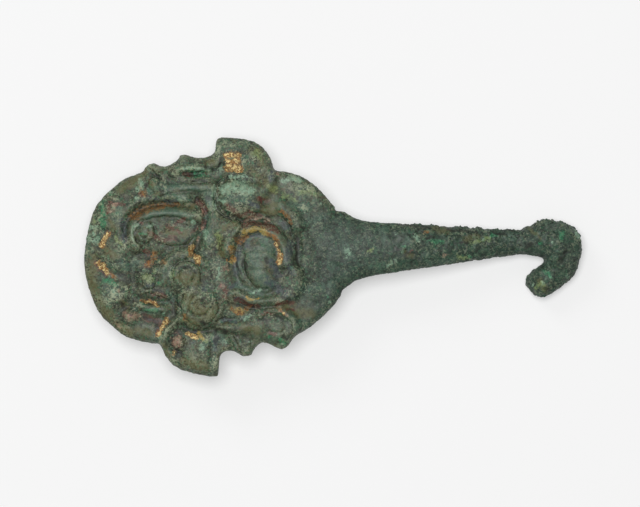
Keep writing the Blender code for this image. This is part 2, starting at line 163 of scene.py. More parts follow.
casting = {
    "voxel": 0.18 * mm,
    "triangles": 196000,
    "softening": 5,             # rounds of smoothing all over
    "hookSoftening": 24,        # more rounds on the neck and hook, the plainest parts
    "silting": 0.55,            # how far corrosion fills the valleys of the carving
    "siltRounds": (45, 15),     # rounds of smoothing that find those valleys, broad and narrow
    "smoothHeight": 0.8 * mm,   # the height from which the neck and hook are smoothed in full
    "wander": 0.010,            # how far a drawn line strays, as a share of the plate's reach
    "wanderSize": 1.6 * mm,
    "cutSize": 1.1 * mm,        # the length over which a cut's depth changes, and by what share
    "cutChange": 0.6,
    "swellHeight": 0.18 * mm,
    "swellSize": 2.6 * mm,
    "swellBack": 0.35,          # how much of its height the sides and back have
    "crustHeight": 0.085 * mm,
    "crustSize": 0.55 * mm,
    "pitDepth": 0.11 * mm,
    "pitSize": 0.95 * mm,
    "pitEdge": (0.12, 0.42),    # a pit's bottom and rim, in shares of its size
    "pitSwells": (-0.1, 0.5),   # pits are deepest on swells
    "grain": 0.55,              # how granular the crust is, and how much that changes by chance,
    "grainChance": 0.45,        # on the sides and in the middle of the calm zones
    "grainSides": 0.35,
    "grainCalm": 0.60,
    "grainSize": 4.0 * mm,      # the length over which it changes by chance
    "grainLeast": 0.08,
    "calmEdge": 1.4,            # how far a calm zone's edge reaches, in half widths
    "roughness": 0.9,           # how much rougher the hook's crust is
    "lumpHeight": 0.15 * mm,    # lumps of the neck and hook
    "lumpSize": 1.05 * mm,
    "knobHeight": 0.50 * mm,    # knobs on the neck's and hook's upper edge
    "knobSize": 0.55 * mm,
    "knobGaps": 2.3 * mm,       # how large groups of knobs and the gaps between them are
    "knobEdge": 2.5 * mm,       # how far from the neck's middle line they are full
    "knobGroups": (-0.40, 0.20),
    "knobFacing": (-0.1, 0.8),  # how far a face turns up the picture where they begin and are full
    "knobMore": 0.25,           # more of it gives more knobs
    "restingHeight": 0.5 * mm,  # what is lower lies on the floor and is flatter
    # how far a face turns to the front where the carving begins and is full, where the sides
    # stop counting as such, and where the top begins
    "front": (0.15, 0.55),
    "sides": (0.3, 0.9),
    "top": (0.2, 0.7),
    # where each of these begins and is full along the neck, in shares of the plate's reach
    "reliefEnd": (0.80, 1.10),
    "smoothStart": (1.0, 1.4),
    "lumpStart": (1.0, 1.5),
    "knobStart": (1.20, 1.55),
    "roughStart": (1.7, 2.1),
    # in millimetres, where the hook is swollen at its outer corner and worn in its throat and on
    # its lip, how high, how broad, and on which faces
    "hookPlaces": (
        ([(63.6, 3.6)], 0.40, 2.4, "sides"),
        ([(54.6, -3.0), (55.8, -2.0), (57.3, -0.9), (55.8, 0.2)], -0.28, 1.2, "sides"),
        ([(57.4, -4.2)], -0.42, 1.3, "top"),
    ),
}

# fine lines: points, half width and height in millimetres, cut where the height is below 0
fineLines = [
    # wire edge of the ring round the domed head
    ([(0.05, 0.57), (0.02, 0.535), (0, 0.475), (0.005, 0.4), (0.03, 0.355), (0.085, 0.31),
      (0.13, 0.295)], 0.2, 0.36),
    ([(0.035, 0.575), (0.005, 0.54), (-0.015, 0.475), (-0.01, 0.4), (0.015, 0.345),
      (0.075, 0.295)], 0.16, -0.14),
    # the leaf: a groove under its upper edge and round its inner boss
    ([(-0.59, 0.12), (-0.605, 0.18), (-0.565, 0.25), (-0.48, 0.285), (-0.37, 0.3),
      (-0.24, 0.28)], 0.26, -0.26),
    (arc((-0.54, 0.19), 0.085, -60, 250, 12), 0.24, -0.22),
    (arc((-0.54, 0.19), 0.045, 0, 330, 10), 0.2, -0.14),
    ([(-0.43, 0.1), (-0.33, 0.08), (-0.22, 0.09), (-0.16, 0.15)], 0.24, -0.2),
    ([(-0.4, 0.2), (-0.32, 0.215), (-0.24, 0.2)], 0.22, -0.14),
    ([(-0.36, 0.26), (-0.29, 0.27), (-0.21, 0.25)], 0.2, 0.12),
    # curl at the upper cusp
    (arc((-0.46, 0.55), 0.060, 20, 320, 10), 0.22, -0.2),
    ([(-0.51, 0.665), (-0.47, 0.62), (-0.43, 0.58)], 0.2, -0.1),
    # lens at the upper edge
    ([(-0.31, 0.635), (-0.24, 0.655), (-0.14, 0.665), (-0.05, 0.66)], 0.2, 0.16),
    ([(-0.26, 0.565), (-0.17, 0.56), (-0.07, 0.565)], 0.24, -0.24),
    # long bands under it
    ([(-0.43, 0.455), (-0.3, 0.485), (-0.16, 0.49), (-0.05, 0.485)], 0.26, -0.2),
    ([(-0.3, 0.42), (-0.22, 0.43), (-0.15, 0.46)], 0.22, 0.14),
    # crests: a line inside their edges
    ([(0.04, 0.66), (0.05, 0.84), (0.14, 0.865), (0.26, 0.83), (0.35, 0.74)], 0.26, -0.16),
    ([(-0.04, -0.66), (-0.05, -0.84), (-0.14, -0.865), (-0.26, -0.83), (-0.35, -0.74)], 0.26, -0.16),
    (arc((-0.03, 0.705), 0.055, 100, 350, 9), 0.2, -0.26),
    # wire edge where the lower crest meets the plate
    ([(-0.3, -0.475), (-0.345, -0.52), (-0.385, -0.575), (-0.4, -0.66)], 0.18, 0.32),
    ([(-0.275, -0.49), (-0.325, -0.545), (-0.36, -0.6), (-0.365, -0.68)], 0.2, -0.1),
    (arc((-0.29, -0.65), 0.060, 60, 400, 10), 0.2, -0.22),
    # coil rings
    (arc((-0.225, -0.14), 0.115, -20, 200, 9), 0.24, -0.28),
    (arc((-0.225, -0.14), 0.060, -40, 230, 9), 0.22, -0.2),
    (arc((-0.13, -0.37), 0.150, 150, 400, 9), 0.22, -0.28),
    (arc((-0.13, -0.36), 0.085, 100, 330, 9), 0.22, -0.26),
    (arc((-0.125, -0.36), 0.035, 0, 250, 7), 0.2, -0.22),
    (arc((-0.51, -0.19), 0.058, 180, 380, 8), 0.2, -0.22),
    ([(0.205, 0.02), (0.205, -0.08), (0.235, -0.17), (0.3, -0.235), (0.38, -0.235)], 0.26, -0.3),
    ([(0.17, 0.05), (0.16, -0.06), (0.19, -0.17)], 0.26, 0.18),
    ([(0.24, 0.045), (0.34, 0.055), (0.44, 0.03)], 0.4, -0.1),
    ([(0.215, -0.03), (0.34, -0.02), (0.47, -0.05)], 0.4, -0.1),
    ([(0.22, -0.11), (0.34, -0.1), (0.46, -0.13)], 0.4, -0.1),
    # ridge lines over the ring
    ([(0.16, 0.215), (0.25, 0.275), (0.33, 0.29), (0.42, 0.265)], 0.2, 0.2),
    ([(0.2, 0.32), (0.28, 0.335), (0.36, 0.32)], 0.22, -0.2),
    ([(0.47, 0.3), (0.53, 0.25), (0.565, 0.17)], 0.22, -0.2),
    # lower right creature
    ([(0.35, -0.455), (0.4, -0.43), (0.47, -0.435), (0.54, -0.475), (0.565, -0.55),
      (0.54, -0.615)], 0.2, -0.15),
    ([(0.4, -0.55), (0.46, -0.575), (0.5, -0.56)], 0.24, -0.18),
    ([(0.14, -0.345), (0.24, -0.405), (0.36, -0.405), (0.45, -0.395)], 0.18, 0.18),
    ([(0.43, -0.355), (0.49, -0.325), (0.55, -0.3)], 0.18, 0.2),
    ([(0.13, -0.58), (0.17, -0.65), (0.2, -0.7)], 0.22, -0.2),
    ([(0.24, -0.57), (0.26, -0.63), (0.25, -0.69)], 0.22, -0.18),
    ([(0.33, -0.6), (0.4, -0.65), (0.47, -0.66)], 0.22, -0.18),
    # slits on the left below
    ([(-0.56, -0.285), (-0.49, -0.285), (-0.4, -0.31)], 0.18, -0.26),
    ([(-0.6, -0.4), (-0.5, -0.42), (-0.4, -0.42)], 0.22, -0.14),
]

# calm zones, where the patina is smooth: points and half width
calmZones = [
    ([(0.22, -0.6), (0.4, -0.62)], 0.1),
    ([(-0.6, 0.22), (-0.48, 0.31), (-0.35, 0.34), (-0.2, 0.32)], 0.075),
    ([(0.33, 0.12), (0.34, -0.02), (0.33, -0.2)], 0.16),
    ([(0.52, 0.2), (0.53, 0.05)], 0.08),
    ([(0.4, 0.42), (0.44, 0.38)], 0.08),
    ([(-0.5, -0.46), (-0.42, -0.47)], 0.09),
    ([(-0.56, -0.56), (-0.46, -0.6)], 0.08),
    ([(-0.3, 0.52), (-0.1, 0.5), (0.02, 0.42)], 0.07),
    ([(-0.3, 0.1), (-0.2, 0.14)], 0.06),
    ([(0.16, -0.02), (0.16, -0.14)], 0.05),
    ([(0.55, -0.42), (0.66, -0.38)], 0.1),
    ([(0.48, 0.52), (0.6, 0.46)], 0.08),
]


# a closed copy of the solid in small even faces
def evenCopy():
    mesh = hookNode.data.copy()
    bm = bmesh.new()
    bm.from_mesh(mesh)
    bmesh.ops.remove_doubles(bm, verts=bm.verts, dist=0.001 * mm)
    bm.to_mesh(mesh)
    bm.free()
    piece = added("bronze", mesh)
    remesh = piece.modifiers.new("even faces", "REMESH")
    remesh.mode = "VOXEL"
    remesh.voxel_size = casting["voxel"]
    settle(piece)
    return piece


# makes the piece's modifiers part of its mesh
def settle(piece):
    bpy.context.view_layer.update()
    graph = bpy.context.evaluated_depsgraph_get()
    done = bpy.data.meshes.new_from_object(piece.evaluated_get(graph))
    piece.modifiers.clear()
    piece.data = done


# how granular the crust is: most on the sides, least in the calm zones
def grainField(x, y, places, facing):
    clouds = grainAt(places, casting["grainSize"], 2, seed=5.0)
    grain = casting["grain"] + casting["grainChance"] * clouds
    grain += casting["grainSides"] * (1 - np.clip(facing[:, 2], 0, 1))
    for points, halfWidth in calmZones:
        calm = np.clip(casting["calmEdge"] - nearLine(x, y, points) / halfWidth, 0, 1)
        grain -= casting["grainCalm"] * calm * (facing[:, 2] > 0.1)
    return np.clip(grain, casting["grainLeast"], 1.0)


# places on the plate moved a little at random, so that drawn shapes get uneven edges
def wandered(places, reach, size, seed):
    x = places[:, 0] / plateReach + reach * grainAt(places, size, 3, seed)
    y = places[:, 1] / plateReach + reach * grainAt(places, size, 3, seed + 0.5)
    return x, y


# takes the solid's facets off, most on the neck and hook
def soften(places, edges):
    for axis in range(3):
        places[:, axis] = evened(places[:, axis], edges, casting["softening"])
    along = places[:, 0] / plateReach
    hookward = rise(*casting["smoothStart"], along) * rise(0.0, casting["smoothHeight"], places[:, 2])
    rounds = casting["hookSoftening"]
    for axis in range(3):
        soft = evened(places[:, axis], edges, rounds)
        soft += evened(places[:, axis] - soft, edges, rounds)  # so it doesn't shrink
        places[:, axis] += (soft - places[:, axis]) * hookward


# fills the relief's valleys with corrosion
def silt(places, edges, front):
    for rounds in casting["siltRounds"]:
        valley = np.clip(evened(places[:, 2], edges, rounds) - places[:, 2], 0, None)
        places[:, 2] += valley * casting["silting"] * front


# how high each place stands, or how deep it lies, for the fine lines
def lineHeights(x, y, places, front):
    shown = np.flatnonzero(front > 0)
    lift = np.zeros(len(x))
    for points, halfWidth, height in fineLines:
        near = nearLine(x[shown], y[shown], points) * plateReach
        lift[shown] += height * mm * np.exp(-(near / (halfWidth * mm)) ** 2)
    change = casting["cutChange"] * grainAt(places, casting["cutSize"], 2, seed=9.0)
    return lift * (front * (1.0 + change))


# knobs of crust in groups along the upper edge of the neck and hook, from 0 to 1
def knobsAt(places, facing):
    knobs = grainAt(places, casting["knobSize"], 3, seed=11.0) + casting["knobMore"]
    knobs = np.clip(knobs, 0, 1) * rise(*casting["knobFacing"], facing[:, 1])
    groups = rise(*casting["knobGroups"], grainAt(places, casting["knobGaps"], 2, seed=12.0))
    return knobs * (groups * rise(0.0, casting["knobEdge"], places[:, 1]))


# how far corrosion raises or eats the surface
def crustHeights(x, y, places, facing, front):
    along = places[:, 0] / plateReach
    swells = grainAt(places, casting["swellSize"], 3, seed=1.0)
    back = casting["swellBack"]
    crust = swells * casting["swellHeight"] * (back + (1 - back) * front)
    crust += knobsAt(places, facing) * casting["knobHeight"] * rise(*casting["knobStart"], along)
    lumps = grainAt(places, casting["lumpSize"], 2, seed=13.0)
    crust += casting["lumpHeight"] * lumps * rise(*casting["lumpStart"], along)
    faces = {
        "sides": 1 - rise(*casting["sides"], np.abs(facing[:, 2])),
        "top": rise(*casting["top"], facing[:, 2]),
    }
    for points, height, reach, side in casting["hookPlaces"]:
        near = nearLine(places[:, 0], places[:, 1], [(a * mm, b * mm) for a, b in points])
        crust += height * mm * np.exp(-(near / (reach * mm)) ** 2) * faces[side]
    grain = grainField(x, y, places, facing)
    grain *= 1 + casting["roughness"] * rise(*casting["roughStart"], along)
    grit = grainAt(places, casting["crustSize"], 3, seed=2.0) * casting["crustHeight"]
    pits = pitsAt(places, casting["pitSize"], casting["pitEdge"], seed=3.0) * casting["pitDepth"]
    return crust + grain * (grit - pits * rise(*casting["pitSwells"], swells))


# softens and silts the casting, then cuts the fine lines and raises the crust
def carve(piece):
    mesh = piece.data
    places, facing, edges = readMesh(mesh)
    soften(places, edges)
    x, y = wandered(places, casting["wander"], casting["wanderSize"], seed=8.0)
    front = rise(*casting["front"], facing[:, 2]) * (1 - rise(*casting["reliefEnd"], x))
    silt(places, edges, front)
    heights = lineHeights(x, y, places, front) + crustHeights(x, y, places, facing, front)
    resting = rise(0.0, casting["restingHeight"], places[:, 2])
    places += facing * (heights * resting)[:, None]
    places[:, 2] = np.maximum(places[:, 2], 0.0)
    mesh.vertices.foreach_set("co", places.ravel())
    mesh.update()
    fewer = piece.modifiers.new("fewer faces", "DECIMATE")
    faces = sum(len(polygon.vertices) - 2 for polygon in mesh.polygons)
    fewer.ratio = min(1.0, casting["triangles"] / faces)
    settle(piece)
    piece.data.shade_smooth()
    print("casting:", faces, "faces, kept", len(piece.data.polygons))


# the painting: colour patches on the front, each a half width and its points in millimetres

painting = {
    "wander": 0.016,            # how far a patch's edge strays, as a share of the plate's reach
    "wanderSize": 1.2 * mm,
    "fringe": 0.12,             # millimetres over which its edge breaks up
    "facing": (0.0, 0.35),      # how far a face turns up where patches begin and are full
    "height": (0.12, 0.30),     # the same for its height, as a share of the casting's
    "groundRounds": 45,         # rounds of smoothing that give the ground under each place
    "raised": 0.30 * mm,        # how high above it a place counts as wholly raised
    "plateEnd": (0.45, 0.90),   # where the plate's patina ends toward the neck, and how far up
    "plateTop": (0.28, 0.45),   # the neck's patina reaches, in shares of the plate's reach
}

patches = {}
patches["gold"] = [
    (0.49, (1.8, 18), (3.7, 18)), (0.46, (1.9, 17), (3.9, 17)), (0.42, (1.8, 15.9), (4.1, 15.9)),
    (0.16, (2.1, 15.2), (4.6, 15.2)), (0.46, (-19.1, 4.1), (-19.8, 3), (-20.3, 1.9)),
    (0.49, (-21, -1.1), (-20.1, -1.8), (-19.3, -2.7)), (0.42, (-4.6, 0.5), (-4.1, 0.7)),
    (0.49, (-3.5, -0.2), (-3.2, -0.9)), (0.39, (-4.2, 1.8), (-4.6, 0.9)),
    (0.32, (-12.5, -8), (-11.8, -8), (-11.1, -8.1), (-10.4, -8.7)),
    (0.35, (-8.7, -11), (-9.2, -11.8), (-9.9, -12.9), (-10.2, -13.8)),
    (0.42, (-4.9, -13.6), (-4.1, -14), (-3.5, -14.3)), (0.41, (11, 0.9), (11.3, -0.2), (11, -0.9)),
    (0.28, (10.2, 2.3), (10.6, 1.6)), (0.25, (11.3, -9.5), (11.8, -9.9)), (0.28, (-7.6, -16.8)),
    (0.23, (1.8, -0.4)),
]
patches["brass"] = [
    (0.49, (4.9, 4.4), (5.8, 4.8), (7.1, 4.8), (8.1, 4.6), (8.8, 4.2)),
    (0.11, (5.1, -7.2), (6.2, -7.4), (7.6, -7.4)), (0.46, (2.8, 0), (2.8, -0.7)), (0.39, (2.7, 1.8)),
    (0.44, (3.4, -9.2), (4.2, -9.5)), (0.35, (-3, -13.4), (-2.5, -14.3)),
]
patches["orange"] = [
    (0.71, (1.9, 18), (3.7, 18)), (0.71, (2.1, 16.8), (3.9, 16.8)), (0.6, (1.9, 15.7), (4.2, 15.5)),
    (0.81, (-14.8, 7.1), (-13.3, 8.1)), (0.74, (-13.3, 8.1), (-11.5, 8.7)),
    (0.57, (-11.5, 8.7), (-9.5, 9)), (0.3, (-9.5, 9.2), (-6.9, 9.2)),
    (0.57, (-11, 0.5), (-11.1, -0.4), (-12, -1.1)), (0.46, (-9.4, -0.9)), (0.78, (2.7, 1.4)),
    (0.6, (2.8, -0.2)), (0.46, (3.5, 3.2), (4.4, 3.4), (5.3, 3.7)), (0.39, (4.1, 2.5)),
    (0.48, (9.2, 4.1), (10.2, 3.4), (10.6, 2.5)),
    (0.34, (11.3, 8.1), (12.2, 7.6), (12.9, 6.7), (13.1, 6)),
    (0.39, (2.8, -9.2), (3.5, -9.7), (4.4, -9.9)), (0.27, (5.1, -9.2), (6, -8.7)),
    (0.46, (-13.1, 11.8), (-12.7, 11.1)), (0.14, (-5.8, -10.1), (-5.5, -11)),
    (0.27, (-13.4, -7.6), (-12.2, -7.6)), (0.27, (-18.9, -2.5), (-18.2, -3.5)),
    (0.23, (-10.4, -12.9), (-10.6, -13.8)), (0.14, (36.6, 4.3), (37.2, 4.4)), (0.53, (11, -0.9)),
]
patches["red"] = [
    (0.35, (7.2, 10.4), (8.1, 9.7)), (0.39, (-11.8, 4.4), (-9.7, 3), (-7.4, 3.4)),
    (0.35, (-8.7, 5.5), (-6.5, 4.4)), (0.49, (-3.5, 9.9), (-2.8, 9.4), (-2.3, 8.7), (-2.1, 8)),
    (0.39, (-2.3, 6.2), (-2.5, 5.3)), (0.48, (4.8, 5.5), (6, 6), (7.4, 5.8), (8.8, 5.3)),
    (0.35, (4.2, 7.2), (5.7, 7.8), (7.2, 7.6)), (0.39, (9, 5.8), (10.1, 5.1), (11, 4.2)),
    (0.28, (5.3, 6.5), (6.9, 7.6), (8, 7.2)), (0.21, (8.1, 10.1), (9.2, 9.9)),
    (0.46, (1.9, 9.2), (2.8, 8.3), (3.7, 7.8)), (0.34, (3.5, -7.4), (4.8, -8), (6.2, -8.5), (7.4, -8.8)),
    (0.28, (10.6, -8.3), (11.8, -8.1), (13.3, -8)), (0.21, (12.5, -9.2), (13.6, -9.2)),
    (0.39, (-11.3, -6.5), (-10.4, -6.5), (-9.4, -6.9)),
    (0.49, (-12.5, -10.8), (-11.5, -11), (-10.4, -11.5)), (0.25, (-9.9, -11.5), (-10.4, -13.1)),
    (0.34, (-12.7, 1.2), (-12, 0.7)), (0.85, (-15.9, -10.4), (-14.7, -10.2)),
    (0.78, (-7.1, -14.3), (-6.9, -15.7)), (0.53, (1.6, -1.9)),
    (0.46, (-12.7, -10.6), (-11.3, -11), (-10.1, -11.5)), (0.49, (0.9, -5.1), (1.6, -6), (1.4, -6.9)),
    (0.3, (-5.8, 14.5), (-4.6, 14.5)), (0.27, (-7.4, 5.7), (-6.7, 6.2), (-5.5, 6.7)),
    (0.32, (-13.3, 6.2)), (0.46, (-4.2, 4.4), (-3.7, 4.9)),
    (0.25, (-18.7, 9.5), (-17.8, 9.4), (-16.3, 9.2)), (0.3, (9.4, -13.4), (10.6, -13.6)),
    (0.19, (8, -10.2), (8.7, -9.7), (9.7, -9.9)), (0.32, (-21.4, -0.9), (-20.7, -2.3), (-19.6, -3.2)),
    (0.25, (-19.1, 4.6), (-18.9, 4.2)), (0.28, (-18.9, 9), (-19.3, 7.8)),
    (0.35, (-11.8, -0.9), (-12.4, -1.6)), (0.27, (-1.8, 14.8)), (0.28, (-13.6, 11.5), (-13.1, 10.6)),
    (0.21, (34.5, 1.2)), (0.25, (8, 5.3), (9.7, 4.8)),
]
patches["blush"] = [
    (0.32, (-18, 9.5), (-18.2, 8.7), (-18.7, 7.8)), (0.23, (-2.5, 8.1), (-2.5, 7.4)),
    (0.25, (-2.5, 5.1), (-2.7, 4.8)), (0.27, (-3.2, 3.4), (-3.5, 2.7)),
    (0.25, (11, -9.2), (12, -9.7), (12.5, -10.4)),
    (0.23, (5.1, 6.5), (6.4, 6.9), (8, 6.9), (9.2, 6.4)),
    (0.64, (-16.1, -10.1), (-15, -10.8), (-14.1, -10.2)), (0.53, (-7.2, -15.5), (-6.7, -14.5)),
    (0.19, (-19.3, -2.3), (-18.2, -3.5)), (0.39, (10.8, 14.7)), (0.21, (3, -6.9)),
    (0.16, (2.1, -1.6), (2.1, -2.3)), (0.32, (-17.8, -11.8), (-17, -12.4)), (0.42, (40.3, 0.4)),
    (0.27, (-17.3, -6)), (0.28, (1.1, -5.1)),
]
patches["vivid"] = [
    (0.41, (-20.1, 9.7), (-20.3, 8.7), (-20.1, 7.4)), (0.46, (-20.5, 6.7), (-20, 6), (-20.1, 4.9)),
    (0.67, (-3.7, 14.5), (-2.1, 14.7)), (0.41, (-20, -4.1), (-18.9, -4.2), (-17.7, -4.9)),
    (0.53, (11.1, -14.7), (12, -15.5)), (0.28, (2.5, -15.9)), (0.28, (-6.2, 4.9)),
    (0.16, (-13.4, 4.4), (-12.5, 4.1)), (0.28, (-12.5, -9.4), (-10.6, -9.5)), (0.25, (-17.5, 7.8)),
    (0.6, (61, 4.1), (61, 3.4)), (0.35, (57.3, 2.5)), (0.46, (58.3, -2.7), (59, -3.5)),
    (0.42, (48.6, 4.1), (49.1, 3.7)), (0.39, (37.8, 2.8), (39.8, 2.7)), (0.32, (33, 1.8)),
    (0.39, (44.7, 0)), (0.28, (-10.1, -4.6)), (0.25, (19.4, -6.9)), (0.18, (-18.9, 11), (-18.4, 10.8)),
    (0.23, (-9, -13.6)), (0.25, (-4.8, 15.2), (-3.9, 15.5)), (0.39, (9.4, -14.1)),
]
patches["lime"] = [
    (0.6, (-12.5, -3.5), (-11.5, -4.1)), (0.46, (-10.8, -2.7)), (0.42, (2.5, 3)),
    (0.49, (0.2, 3.9), (0.4, 2.1)), (0.32, (26.7, 0.9), (27.4, 1.4)),
    (0.49, (45.2, 2.5), (46.8, 3), (48.1, 3.2)), (0.39, (42.6, 0), (44.4, -0.2)),
    (0.57, (14.3, 11.3), (15.7, 11.7), (17.1, 11.1)), (0.6, (11.8, 10.8), (13.6, 10.1)),
    (0.28, (56.4, -5.7), (57.6, -4.6), (58.1, -5.8)), (0.46, (-17.7, 3.4), (-17, 2.5)),
    (0.35, (-21.7, 6.2)), (0.39, (-7.8, -2.7), (-8, -4.1)), (0.32, (-2.5, -14.3), (-1.9, -14.8)),
    (0.64, (6.9, 18.6), (7.6, 17.5)), (0.53, (9, 12.5), (10.4, 11.8)),
]
patches["mint"] = [
    (0.8, (1.2, 11.5), (2.7, 11.8), (4.4, 11.8), (5.8, 11.3)), (0.35, (0.9, 10.1), (1.6, 9.4)),
    (0.6, (0.9, 11.8), (1.9, 12.5), (3.4, 13.1)), (0.67, (3.7, 13.1), (4.9, 12.5), (6.2, 11.7)),
    (0.46, (2.1, 11), (3, 11.5)),
    (0.21, (-6, 15.4), (-4.8, 15.7), (-3, 15.5), (-1.2, 15.4), (0.9, 15.4)),
    (0.53, (11.7, 13.4), (12.9, 14.1), (14.3, 13.4)), (0.35, (18.6, 9.4)),
    (0.39, (-22.8, 5.1), (-21.4, 5.5)), (0.57, (-22.8, 3.4), (-21.2, 3)), (0.42, (-21.6, 4.1)),
    (0.46, (-13.3, 13.3), (-13.1, 12.5)), (0.42, (-14, 11.8)), (0.35, (-14.1, 10.4)),
    (0.28, (-18.7, 11.3)), (0.09, (-13.8, 6), (-14.7, 4.9), (-15, 3.7), (-14.7, 2.7)),
    (0.21, (-12.4, 5.5), (-11.3, 5.8)), (0.28, (-6.4, 10.2), (-6.2, 9.5)),
    (0.28, (-4.2, 6.4), (-3.7, 6)), (0.34, (-9.5, -9.9)), (0.3, (-10.1, -14.3), (-9.5, -13.6)),
    (0.39, (-18.4, -5.8), (-17.5, -6.7)), (0.42, (-2.8, -16.4), (-2.5, -15.7)), (0.39, (1.4, -14.8)),
    (0.28, (5.1, -10.8), (5.8, -10.4)), (0.28, (5.8, -14.7)), (0.53, (23.1, 1.2), (23.3, 0.4)),
    (0.23, (-0.4, 12.5), (-0.7, 10.4), (-0.4, 8.3)), (0.19, (2.3, 14), (4.1, 14.3), (5.5, 14)),
    (0.14, (29.9, -1.7), (30.9, -0.9)), (0.35, (31.8, 4.2)), (0.32, (32.7, 0.7)),
    (0.11, (31.5, -0.2), (31.6, -0.7)), (0.35, (35, 3.7), (35.7, 3)), (0.32, (62, -3.4)),
    (0.27, (57.8, -4.6)), (0.23, (56, -5.1)), (0.28, (59.4, 2.5)), (0.21, (61, 3.7)),
    (0.28, (59, -3.7)), (0.32, (47, 3.2)), (0.16, (63.3, 4.9), (64.1, 3.4)),
    (0.28, (0.4, -1.9), (0.4, -3.7)), (0.18, (8.3, -5.8), (6.9, -6), (5.8, -6.4)), (0.28, (-20, -6.5)),
    (0.28, (15.2, -6)), (0.35, (-1.8, 4.8), (-2.1, 3)), (0.28, (20, -7.8)),
]
patches["teal"] = [
    (0.71, (12.9, 9.2), (16.4, 8.7)),
    (0.57, (-12.2, 7.1), (-10.4, 7.8), (-8.3, 8.1), (-6.5, 7.6), (-4.8, 7.1)),
    (0.81, (-1.4, 10.8), (-1.6, 8.3), (-1.8, 6.2), (-1.2, 3)),
    (0.6, (-11.8, 11.7), (-9.2, 12.2), (-6.5, 12.5), (-3, 11.8), (-0.9, 11.8)),
    (1.24, (6.5, 0.4), (7.2, -2.7), (8.7, -4.9)), (0.6, (3.7, -4.8), (5.5, -5.8), (8, -6.5)),
    (0.57, (-12.5, -9.4), (-10.4, -9.5)), (0.64, (-16.8, -0.9), (-15.4, -1.8), (-14.1, -0.9)),
    (0.78, (0.9, -14.3), (-0.2, -13.8)), (0.81, (15.2, -5.5), (17.8, -5.3), (20.3, -4.8)),
    (0.64, (15.5, 6.2), (17.3, 6.9), (19.1, 6.9)), (0.88, (22.8, 2.1), (23.5, 0.2)),
    (0.71, (1.4, 10.1), (5.8, 10.4)), (0.78, (28.8, 5.7), (29.7, 3)), (0.53, (32.7, 1.9), (33.7, 2.5)),
    (0.64, (36.8, 0.2), (37.6, -0.9)), (0.81, (51.4, 3.4), (52.8, 3.4)), (0.71, (8, 3), (9.7, 1.2)),
    (0.42, (-17.5, 9.2), (-17.1, 7.4)), (0.53, (-7.2, 10.8), (-4.8, 10.1)),
    (0.71, (27.4, -1.9), (29.7, -1.6)), (0.53, (-2.1, -15.5), (-0.4, -14.7)),
    (0.71, (58, -0.9), (59.7, -0.2)), (0.42, (39.4, -0.9), (42.1, -0.2)),
    (0.32, (-8.7, -5.8), (-7.6, -7.6)),
]
patches["slate"] = [
    (0.46, (9.7, 14.7), (9.7, 13.6)), (0.27, (-11.8, 10.4), (-10.4, 10.2)),
    (0.21, (-9.2, 10.1), (-6.9, 9.9)), (0.42, (5.7, 3.5), (5.3, 1.8)), (0.23, (6.5, 3.9), (7.8, 3.7)),
    (0.53, (4.1, 1.6), (3.5, -0.5), (3.4, -2.7)), (0.42, (11.3, 6.2), (12.2, 5.1)),
    (0.64, (13.1, 2.5), (12.5, -0.2), (13.3, -2.7)), (0.32, (3.4, -7.2), (4.6, -7.6)),
    (0.27, (0.7, -11.3), (1.9, -11.1), (3.2, -11.5)), (0.42, (-0.2, -14.3), (-0.2, -16.4)),
    (0.27, (-3.7, -13.1)), (0.28, (-4.2, -15)), (0.32, (-12.4, -5.1), (-11.1, -4.9)),
    (0.57, (-16.8, 6.4), (-16.3, 4.8), (-16.3, 3)), (0.28, (-6, 0)),
    (0.42, (2.3, -5.1), (3.4, -4.8)), (0.71, (9, -4.2), (11.1, -5.7), (12.9, -6.9)),
    (0.64, (9.7, -0.9), (10.8, -3.2)), (0.6, (58.5, 5.5), (60.3, 5.3)), (0.71, (62.7, 0.4), (62.4, -1.6)),
    (0.64, (32, 3), (33, 3.4)), (0.71, (26.2, 5.5), (26.7, 3.7)), (0.35, (5.8, 9.5), (7.2, 9)),
    (0.53, (53.5, 1.9), (55, 2.1)), (0.39, (-2.1, -5.7)), (0.27, (4.4, -10.6)),
]
